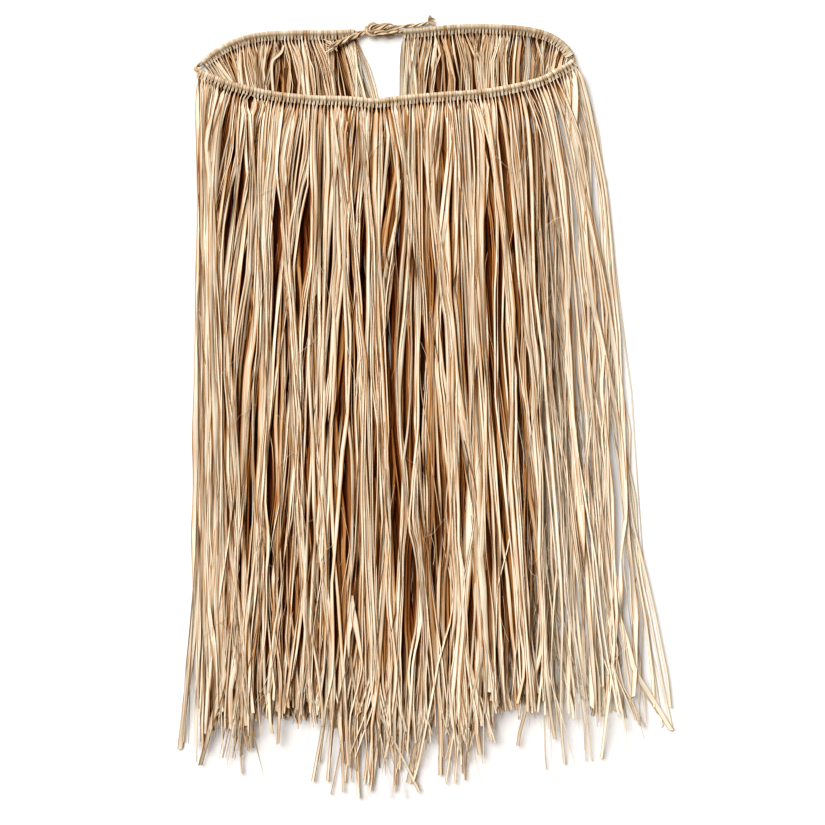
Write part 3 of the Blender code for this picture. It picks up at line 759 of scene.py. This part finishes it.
def lockRoots(panel):  # where each lock leaves the cord
    line = smoothLine(panel["cord"])
    low, high = panel["margins"][0], marksOf(line)[-1] - panel["margins"][1]
    share = (np.arange(panel["locks"]) + 0.5) / panel["locks"]
    station = low + (high - low) * share
    point = walk(line, station)
    heading = unit(walk(line, station + 0.5) - walk(line, station - 0.5))
    flat = unit(heading[:, :2])
    out = np.stack([flat[:, 1], -flat[:, 0]], axis=1)
    lean = np.interp(share, panel["spread"][:, 0], panel["spread"][:, 3])
    return {"share": share, "point": point, "heading": heading, "out": out, "lean": lean}


def strandLine(draw, panel, root, lean, tip, late, depth, swerve, inner):
    # The strand's centre line, from its hitch to its tip: nearly straight runs that meet in slight kinks
    length = root[1] - tip[1]
    early = np.array(strand["early"])
    count = int((length - early[-1]) / panel["step"])
    along = np.concatenate([early, np.linspace(early[-1], length, count + 1)[1:]])
    swing = panel["leadOut"] * lean

    def evenPlace(distance):
        share = np.clip(distance / length, 0, 1)
        x = root[0] + swing * (1 - np.exp(-distance / panel["leadOut"]))
        x = x + (tip[0] - root[0] - swing) * share ** late + swerve[0] * share ** swerve[1]
        return x, root[1] - distance

    runs = draw.uniform(*strand["runs"], strand["kinks"]) * panel["kinkRuns"]
    runs[0] = draw.uniform(*strand["firstRun"]) * panel["kinkRuns"]
    kinks = draw.uniform(*strand["firstKink"]) + np.concatenate([[0], np.cumsum(runs)])
    kinkX, kinkY = evenPlace(kinks)
    wave = 1 + clumps["steps"][1] * round(depth * clumps["steps"][0])
    start, whole = clumps["comesIn"]
    offsets = clumpShift(kinkX, kinkY, wave) * smoothStep(kinks, start, whole * panel["kinkRuns"])
    offsets = offsets + draw.normal(0, 1, len(kinks)) * np.interp(kinks, *strand["strays"]) * panel["messy"]
    offsets[0] = 0
    offsets = offsets * (strand["steady"] + (1 - strand["steady"]) * inner)
    x, y = evenPlace(along)
    sway = waver(draw, along, *strand["sways"]) * smoothStep(along, *strand["swaysFrom"])
    x = x + np.interp(along, kinks, offsets) + sway
    x = x + draw.normal(0, strand["splay"]) * np.maximum(0, -y - draw.uniform(*strand["bends"])) * inner
    if panel is front and depth > parted["above"]:
        x = x + partedShift(x, y)
    rest = heightUnder(x, y) if panel is front else 0.0
    depths = depth + np.interp(along, kinks, draw.normal(0, strand["weaves"], len(kinks)))
    stack = panel["stack"] * (1 - eased(x, *strand["flatRight"])) * (1 - eased(-y, *strand["flatHem"]))
    z = rest + panel["clearance"] + stack * np.clip(depths, 0, strand["highest"])
    z = root[2] + (z - root[2]) * smoothStep(along, *strand["settles"])
    return np.stack([x, y, z], axis=1), along


def strandWidth(draw, panel, kind, tip, depth, narrow):
    width = draw.uniform(*kind["width"])
    if tip[1] < broadness["longTips"]:
        width = max(strand["narrowest"], width * np.interp(tip[0], *broadness["longRight"]))
    elif tip[0] < broadness["rightFrom"]:
        width = width * np.interp(depth, *broadness["hidden"])
    elif panel is front:
        width = width * broadness["right"]
    return width * narrow


def strandTone(draw, panel, centre, along, depth, shade):
    x, down = centre[:, 0], -centre[:, 1]
    # painted shade: the lower strands are darkened by depth for the shade they lie in, less so towards the
    # hem and at the right
    deep = depth - fading(np.abs(x - toning["midX"]), *toning["mid"])
    under = fading(deep, *toning["under"]) * shade
    under = under * (1 - eased(down, *toning["underHem"]))
    under = under * (1 - eased(x, *toning["underRight"]))
    # painted shade near the hitch for the lower strands
    if depth < layers["_under"]:
        under = under + fading(along, *toning["root"])
    outer = toning["outer"][0] * (1 - min(1, toning["outer"][1] * shade))
    tone = np.clip(draw.normal(*panel["tone"]) + outer - under, *toning["limits"])
    # painted shade in the gaps between hitches; it may take the tone below nothing, which the finish darkens
    # towards black
    if depth < layers["_under"]:
        tone = tone - fading(along, panel["rootShade"] * shade, *toning["gap"])
    tone = tone + eased(x, *toning["middle"]) * smoothStep(down, *toning["middleDown"])
    # painted light: paler at the right and towards the hem, where the skirt lies thin
    tone = tone + eased(x, *toning["right"])
    return tone + eased(down, *toning["hem"])


def addLeafStrand(sheaf, draw, panel, centre, along, depth, columns, shade, narrow):
    kind = kinds[draw.choice(len(kinds), p=[kind["share"] for kind in kinds])]
    width = strandWidth(draw, panel, kind, centre[-1], depth, narrow)
    length = along[-1]
    start, whole = strand["opens"]
    opened = smoothStep(along, start, whole * draw.uniform(*strand["opensBy"])) ** strand["opening"]
    neck = strand["neck"] * np.interp(depth, strand["neckDepths"], (panel["neckUnder"], 1))
    widths = neck + (width - neck) * opened
    spacing, amount, limit = strand["swells"]
    widths = widths * (1 + np.clip(waver(draw, along, spacing, amount), -limit, limit))
    if panel is front:
        widths = widths * (1 + fading(-centre[:, 1], *broadness["front"]) * opened)
    widths = widths * (1 - eased(-centre[:, 1], *broadness["hem"]))
    spacing, amount, *limits = strand["curls"]
    curl = draw.uniform(*kind["curl"]) * (1 + waver(draw, along, spacing, amount))
    curls = np.clip(strand["neckCurl"] + (curl - strand["neckCurl"]) * opened, *limits)
    tilt = draw.normal(0, kind["tilt"]) + waver(draw, along, *strand["tilts"])
    if draw.random() < strand["faceDown"]:
        tilt = tilt + math.pi
    if draw.random() < strand["flips"]:
        middle = draw.uniform(*strand["flipsAt"]) * length
        reach = draw.uniform(*strand["flipReach"])
        tilt = tilt + math.pi * draw.choice((-1, 1)) * smoothStep(along, middle - reach, middle + reach)
    if draw.random() < kind["taper"]:
        loss, before, past = strand["tapers"]
        widths = widths * (1 - eased(along, loss, length - draw.uniform(*before), length + past))
    ridges = draw.normal(0, kind["ridge"], columns)
    cut = draw.normal(0, strand["cut"])
    tone = strandTone(draw, panel, centre, along, depth, shade)[:, None]
    grain = draw.random()
    if width > strand["splitWidth"] and draw.random() < strand["splits"]:
        start = length * draw.uniform(*strand["splitsAt"])
        spread = draw.uniform(*strand["splitSpread"]) * np.maximum(0, along - start)
        aside, broad, rolled = strand["splitHalves"]
        for side in (-1, 1):
            shifted = centre + np.stack([side * (widths * aside + spread), 0 * along, 0 * along], axis=1)
            shape = (widths * broad, leafThick, curls * rolled, tilt, ridges, cut * side)
            rings, across = ringsAlong(shifted, *shape)
            addStrand(sheaf, pressed(rings), across, tone, grain + 0.01 * side)
    else:
        rings, across = ringsAlong(centre, widths, leafThick, curls, tilt, ridges, cut)
        addStrand(sheaf, pressed(rings), across, tone, grain)


tips = {  # where strands end
    "hiddenDepth": 0.45,       # the strands below this end somewhat higher
    "hiddenShort": (-8, 45),
    "hiddenShorter": 50,
    "broken": 0.025,           # share that are broken off, how far up, and within what reach of the middle
    "brokenBy": (20, 200),
    "brokenWithin": (-40, 200),
    "uneven": (0.7, 0.45),     # how the hem's steps come from the lock and from the strand
}


def tipOf(draw, panel, x, lockDraw, depth):  # the level at which a strand ends
    hemY, longest, longShare = (np.interp(x, panel["hem"][:, 0], panel["hem"][:, k]) for k in (1, 2, 3))
    if panel is front and depth < tips["hiddenDepth"]:
        return hemY + draw.uniform(*tips["hiddenShort"]) - tips["hiddenShorter"] * longShare
    if 0.5 * lockDraw + 0.5 * draw.random() > 1 - longShare:
        return longest + (hemY - longest) * draw.random()
    middle, within = tips["brokenWithin"]
    short = 0.0
    if abs(x - middle) < within and draw.random() < tips["broken"]:
        short = draw.uniform(*tips["brokenBy"])
    byLock, byStrand = tips["uneven"]
    return hemY + panel["uneven"] * (byLock * (lockDraw - 0.5) + draw.normal(0, byStrand)) + short


def lockPlace(panel, share):
    # How freely a lock's strands stray, how much painted shade they get inside, and the share of their width,
    # by its place
    start, sooner = rimEnds["innerRight"]
    inner = float(smoothStep(min(share, start + sooner * (1 - share)), *rimEnds["inner"]))
    if panel is front:
        inner = inner * (1 + eased(share, *rimEnds["looseRight"]))
    shade = rimEnds["shade"] + (1 - rimEnds["shade"]) * min(1, inner)
    shade = shade * float(smoothStep(min(share, 1 - share), *rimEnds["shadeFrom"]))
    if panel is front:
        return inner, shade, 1.0
    shade = shade * float(smoothStep(share if panel is backRight else 1 - share, *rimEnds["shadeOuter"]))
    widest, less, *ends = rimEnds["narrowBack"]
    return inner, shade, widest - less * float(smoothStep(max(share, 1 - share), *ends))


def panelSheaves(panel, roots, run):
    # The strands of a run of locks, sorted into layers by their depth
    draw = np.random.default_rng(panel["seed"] + run[0])
    sheaves = [newSheaf() for _ in layers]
    for i in run:
        share = roots["share"][i]
        count = draw.integers(panel["strands"][0], panel["strands"][1] + 1)
        count = round(count * np.interp(share, *panel["thinned"]))
        lockDraw = draw.random()
        depths = (draw.permutation(count) + draw.random(count)) / count
        inner, shade, narrow = lockPlace(panel, share)
        for depth in depths:
            tipX, late = (np.interp(share, panel["spread"][:, 0], panel["spread"][:, k]) for k in (1, 2))
            tipX = tipX + draw.normal(0, strand["tipStrays"])
            reach = 0.0
            if draw.random() < strand["crosses"]:
                reach = draw.normal(0, strand["reach"]) * min(1, rimEnds["crossing"] * share * (1 - share))
                depth = strand["crossDepth"]
            swerve = (reach, draw.choice(strand["turns"]))
            tip = np.array((tipX, tipOf(draw, panel, tipX + reach, lockDraw, depth)))
            root = roots["point"][i].copy()
            spread = np.interp(depth, *strand["rootSpread"])
            aside = roots["heading"][i][:2] * draw.uniform(-1, 1) * spread
            root[:2] += roots["out"][i] * strand["rootOut"] + aside
            root[2] = max(strand["rootLowest"], root[2] + (depth - 0.5) * strand["rootRise"])
            centre, along = strandLine(draw, panel, root, roots["lean"][i], tip, late, depth, swerve, inner)
            layer = next(n for n, limit in enumerate(layers.values()) if depth <= limit)
            columns = panel["columns"][layer]
            addLeafStrand(sheaves[layer], draw, panel, centre, along, depth, columns, shade, narrow)
    return sheaves


hitch = {
    "bands": 3,
    "apart": 1.22,
    "width": 1.6,
    "widths": (0.9, 1.15),     # how much a band's width differs
    "narrows": 0.6,
    "thick": 0.7,
    "radius": 2.95,
    "slack": (0.95, 1.12),     # how much its loop's radius differs
    "points": 11,
    "sides": 5,
    "opening": 38.0,           # degrees either side of the way out that the loop leaves open
    "neck": ((3.4, 1.3, 0.78), (5.2, 1.0, 0.64), (7.6, 0.5, 0.56)),   # out, up, and share of the width kept
    "slant": 0.5,              # how far a loop winds along the cord, and how much that differs
    "slants": (0.4, 1.4),
    "tone": (0.87, 0.08),
    "bandTone": 0.05,
    "floor": (0.2, 0.7),
}


def hitchSheaf(roots, run, seed):
    draw = np.random.default_rng(seed)
    sheaf = newSheaf()
    turn = np.radians(np.linspace(-hitch["opening"], hitch["opening"] - 360, hitch["points"]))
    keeps = [keep for _, _, keep in hitch["neck"]]
    narrowing = np.array([*reversed(keeps), *np.ones(len(turn)), *keeps]) ** hitch["narrows"]
    up = np.array((0, 0, 1.0))
    for i in run:
        point, heading, out = roots["point"][i], roots["heading"][i], np.append(roots["out"][i], 0)
        slant = hitch["slant"] * draw.uniform(*hitch["slants"])
        tone = np.clip(draw.normal(*hitch["tone"]), *toneLimits)
        for n in range(hitch["bands"]):
            spot = (n - (hitch["bands"] - 1) / 2) * hitch["apart"]
            radius = hitch["radius"] * draw.uniform(*hitch["slack"])
            sides = spot + slant * np.linspace(-1, 1, len(turn))
            lowLeg = [(reach, -rise, spot * keep - slant) for reach, rise, keep in reversed(hitch["neck"])]
            topLeg = [(reach, rise, spot * keep + slant) for reach, rise, keep in hitch["neck"]]
            around = np.stack([radius * np.cos(turn), radius * np.sin(turn), sides], axis=1)
            loop = np.vstack([lowLeg, around, topLeg])
            centre = point + loop[:, :1] * out + loop[:, 1:2] * up + loop[:, 2:] * heading
            width = hitch["width"] * draw.uniform(*hitch["widths"]) * narrowing
            rings, across = bandRings(centre, heading, width, hitch["thick"])
            bandTone = tone + draw.normal(0, hitch["bandTone"])
            addStrand(sheaf, pressed(rings, *hitch["floor"]), across, bandTone, draw.random())
    return sheaf


def bandRings(centre, axis, width, thick):  # an oval band, lying across the given axis
    tangent = unit(np.gradient(centre, axis=0))
    normal = unit(np.cross(tangent, axis))
    side = np.cross(normal, tangent)
    angle = np.arange(hitch["sides"]) / hitch["sides"] * fullTurn
    x = width[:, None] / 2 * np.cos(angle)
    y = thick / 2 * np.sin(angle)
    rings = centre[:, None] + x[..., None] * side[:, None] + y[:, None] * normal[:, None]
    return rings, x


fibres = {  # loose hairs that stand off the strands
    "count": 55,
    "radius": (0.12, 0.26),
    "points": 9,
    "length": (18.0, 130.0),
    "shorter": 1.5,            # how much likelier short ones are
    "levels": (-370, 350),     # where they start, by y, and how near the middle they keep
    "gathered": ((-390, 330), (0.97, 0.62)),
    "crossing": 0.12,          # share that lie across the strands, at what turn, and their longest
    "crossTurn": 0.8,
    "crossLongest": 35,
    "slope": 0.10,             # how far they lean, in radians
    "arch": 0.04,              # how far they bow, as a share of their length
    "waver": (0.3, 0.8),
    "level": 3.0,              # above the highest strands, and how much of an arch they rise in
    "rises": (0.6, 1),
    "tone": (0.95, 0.15),
}


def fibreSheaf(panel, run, seed):
    draw = np.random.default_rng(seed)
    sheaf = newSheaf()
    shares = np.array([run[0], run[-1]]) / panel["locks"]
    sides = np.interp(shares, panel["spread"][:, 0], panel["spread"][:, 1])
    shortest, longest = fibres["length"]
    share = np.linspace(0, 1, fibres["points"])
    for _ in range(fibres["count"]):
        length = shortest + (longest - shortest) * draw.random() ** fibres["shorter"]
        x = draw.uniform(*sides)
        y = draw.uniform(*fibres["levels"])
        x = x * np.interp(y, *fibres["gathered"])
        turn = draw.normal(0, fibres["slope"])
        if draw.random() < fibres["crossing"]:
            turn = turn + draw.choice((-1, 1)) * fibres["crossTurn"]
            length = min(length, fibres["crossLongest"])
        arch = length * fibres["arch"] * draw.normal()
        bow = arch * np.sin(math.pi * share) + waver(draw, share, *fibres["waver"])
        along = length * share
        line = np.stack([x + np.sin(turn) * along + np.cos(turn) * bow,
                         y - np.cos(turn) * along + np.sin(turn) * bow, 0 * along], axis=1)
        top = heightUnder(line[:, 0], line[:, 1]) + panel["clearance"] + panel["stack"]
        rise = np.sin(math.pi * share * draw.uniform(*fibres["rises"]))
        line[:, 2] = top + fibres["level"] * rise * draw.random()
        rings, across = tubeRings(line, draw.uniform(*fibres["radius"]), 3)
        addStrand(sheaf, rings, across, np.clip(draw.normal(*fibres["tone"]), *toneLimits), draw.random())
    return sheaf


foldCurl = 0.5
foldTone = 0.97
foldGrain = 0.3            # how much one fold's grain differs from the next one's
folds = {  # leaf that lies folded over the other strands, as rows of x, y, z and width
    "fringe_front_middle": [
        [
            (-87.2, -204, 19.5, 2.0), (-86.2, -220, 22.2, 5.5), (-83.9, -236, 22.6, 7.6),
            (-81.2, -250, 22.4, 5.6), (-77.5, -272, 21.4, 4.0), (-73.5, -296, 18.5, 2.4),
        ],
        [
            (-88.0, -204, 19.5, 2.0), (-88.4, -220, 22.2, 5.2), (-90.3, -236, 22.6, 7.2),
            (-91.8, -249, 22.2, 5.0), (-91.5, -266, 21.0, 3.4), (-88.5, -290, 18.5, 2.0),
        ],
    ],
    "fringe_back_left": [
        [
            (-167.0, 429, 5.0, 2.6), (-169.4, 421, 7.5, 3.6), (-174.5, 415.5, 9.2, 4.0),
            (-179.0, 411.5, 9.6, 4.0), (-180.6, 405, 9.4, 3.7), (-180.2, 393, 9.2, 3.5),
            (-179.0, 376, 8.0, 3.2),
        ],
    ],
}


def addFold(sheaf, rows, grain):
    line = smoothLine(rows, 6)
    rings, across = ringsAlong(line[:, :3], line[:, 3], leafThick, foldCurl, 0.0)
    addStrand(sheaf, rings, across, foldTone, grain)


def addPanel(panel, nodes, material, hitched, slot):
    # nodes names each run's CAD node; the locks are shared out evenly between the runs
    roots = lockRoots(panel)
    perRun = panel["locks"] // len(nodes)
    for n, node in enumerate(nodes):
        run = range(perRun * n, perRun * (n + 1))
        sheaves = panelSheaves(panel, roots, run)
        for place, rows in enumerate(folds.get(node, [])):
            addFold(sheaves[-1], rows, foldGrain * place)
        for ending, sheaf in zip(layers, sheaves):
            settle(meshOf(sheaf, node.replace("fringe", "strands") + ending, material), slot, node)
        hitches = hitchSheaf(roots, run, panel["seed"] * 7 + n)
        settle(meshOf(hitches, node.replace("fringe", "hitches"), hitched), slot, node)
        if panel is front:
            hairs = fibreSheaf(panel, run, panel["seed"] * 5 + n)
            settle(meshOf(hairs, node.replace("fringe", "hairs"), material), slot, node)


addPanel(front, ["fringe_front_left", "fringe_front_middle", "fringe_front_right"], leaf, leafHitch, "leaf")
print("front panel made")
addPanel(backLeft, ["fringe_back_left"], leafPaintedShade, leafHitchPaintedShade, "leaf_back")
addPanel(backRight, ["fringe_back_right"], leafPaintedShade, leafHitchPaintedShade, "leaf_back")
print("back panel made")


studio = {
    "floorColour": (0.60, 0.605, 0.615, 1),
    "floorGlow": (0.145, 0.145, 0.145, 1),
    "floorRoughness": 0.9,
    "floorGloss": 0.1,
    "floorHalf": 30.0,       # metres from its middle to its sides
    "sunFrom": (-0.56, 0.56, 0.92),
    "sunSoftness": 46.0,     # degrees across
    "sunStrength": 3.62,
    "roomColour": (1, 0.69, 0.40, 1),
    "room": 0.165,
    "wallColour": (0.82, 0.82, 0.82, 1),
    "look": "High Contrast",
}


def addFloor():
    mesh = bpy.data.meshes.new("floor")
    half = studio["floorHalf"]
    corners = [(-half, -half, 0), (half, -half, 0), (half, half, 0), (-half, half, 0)]
    mesh.from_pydata(corners, [], [(0, 1, 2, 3)])
    floor = bpy.data.objects.new("floor", mesh)
    bpy.context.collection.objects.link(floor)
    material = bpy.data.materials.new("pale floor")
    material.use_nodes = True
    shader = material.node_tree.nodes["Principled BSDF"]
    shader.inputs["Base Color"].default_value = studio["floorColour"]
    shader.inputs["Emission Color"].default_value = studio["floorGlow"]
    shader.inputs["Emission Strength"].default_value = 1.0
    shader.inputs["Roughness"].default_value = studio["floorRoughness"]
    shader.inputs["Specular IOR Level"].default_value = studio["floorGloss"]
    mesh.materials.append(material)


def addLight():
    light = bpy.data.lights.new("sun", "SUN")
    light.angle = math.radians(studio["sunSoftness"])
    light.energy = studio["sunStrength"]
    sun = bpy.data.objects.new("sun", light)
    bpy.context.collection.objects.link(sun)
    sun.rotation_euler = Vector(studio["sunFrom"]).to_track_quat("Z", "Y").to_euler()
    world = bpy.data.worlds.new("studio")
    world.use_nodes = True
    tree = world.node_tree
    tree.nodes["Background"].inputs["Color"].default_value = studio["roomColour"]
    tree.nodes["Background"].inputs["Strength"].default_value = studio["room"]
    wall = tree.nodes.new("ShaderNodeBackground")   # what the camera sees beyond the floor
    wall.inputs["Color"].default_value = studio["wallColour"]
    path = tree.nodes.new("ShaderNodeLightPath")
    mix = tree.nodes.new("ShaderNodeMixShader")
    tree.links.new(path.outputs["Is Camera Ray"], mix.inputs["Fac"])
    tree.links.new(tree.nodes["Background"].outputs["Background"], mix.inputs[1])
    tree.links.new(wall.outputs["Background"], mix.inputs[2])
    tree.links.new(mix.outputs["Shader"], tree.nodes["World Output"].inputs["Surface"])
    bpy.context.scene.world = world
    bpy.context.scene.view_settings.view_transform = "Standard"
    bpy.context.scene.view_settings.look = studio["look"]


addFloor()
addLight()
print("studio lit")
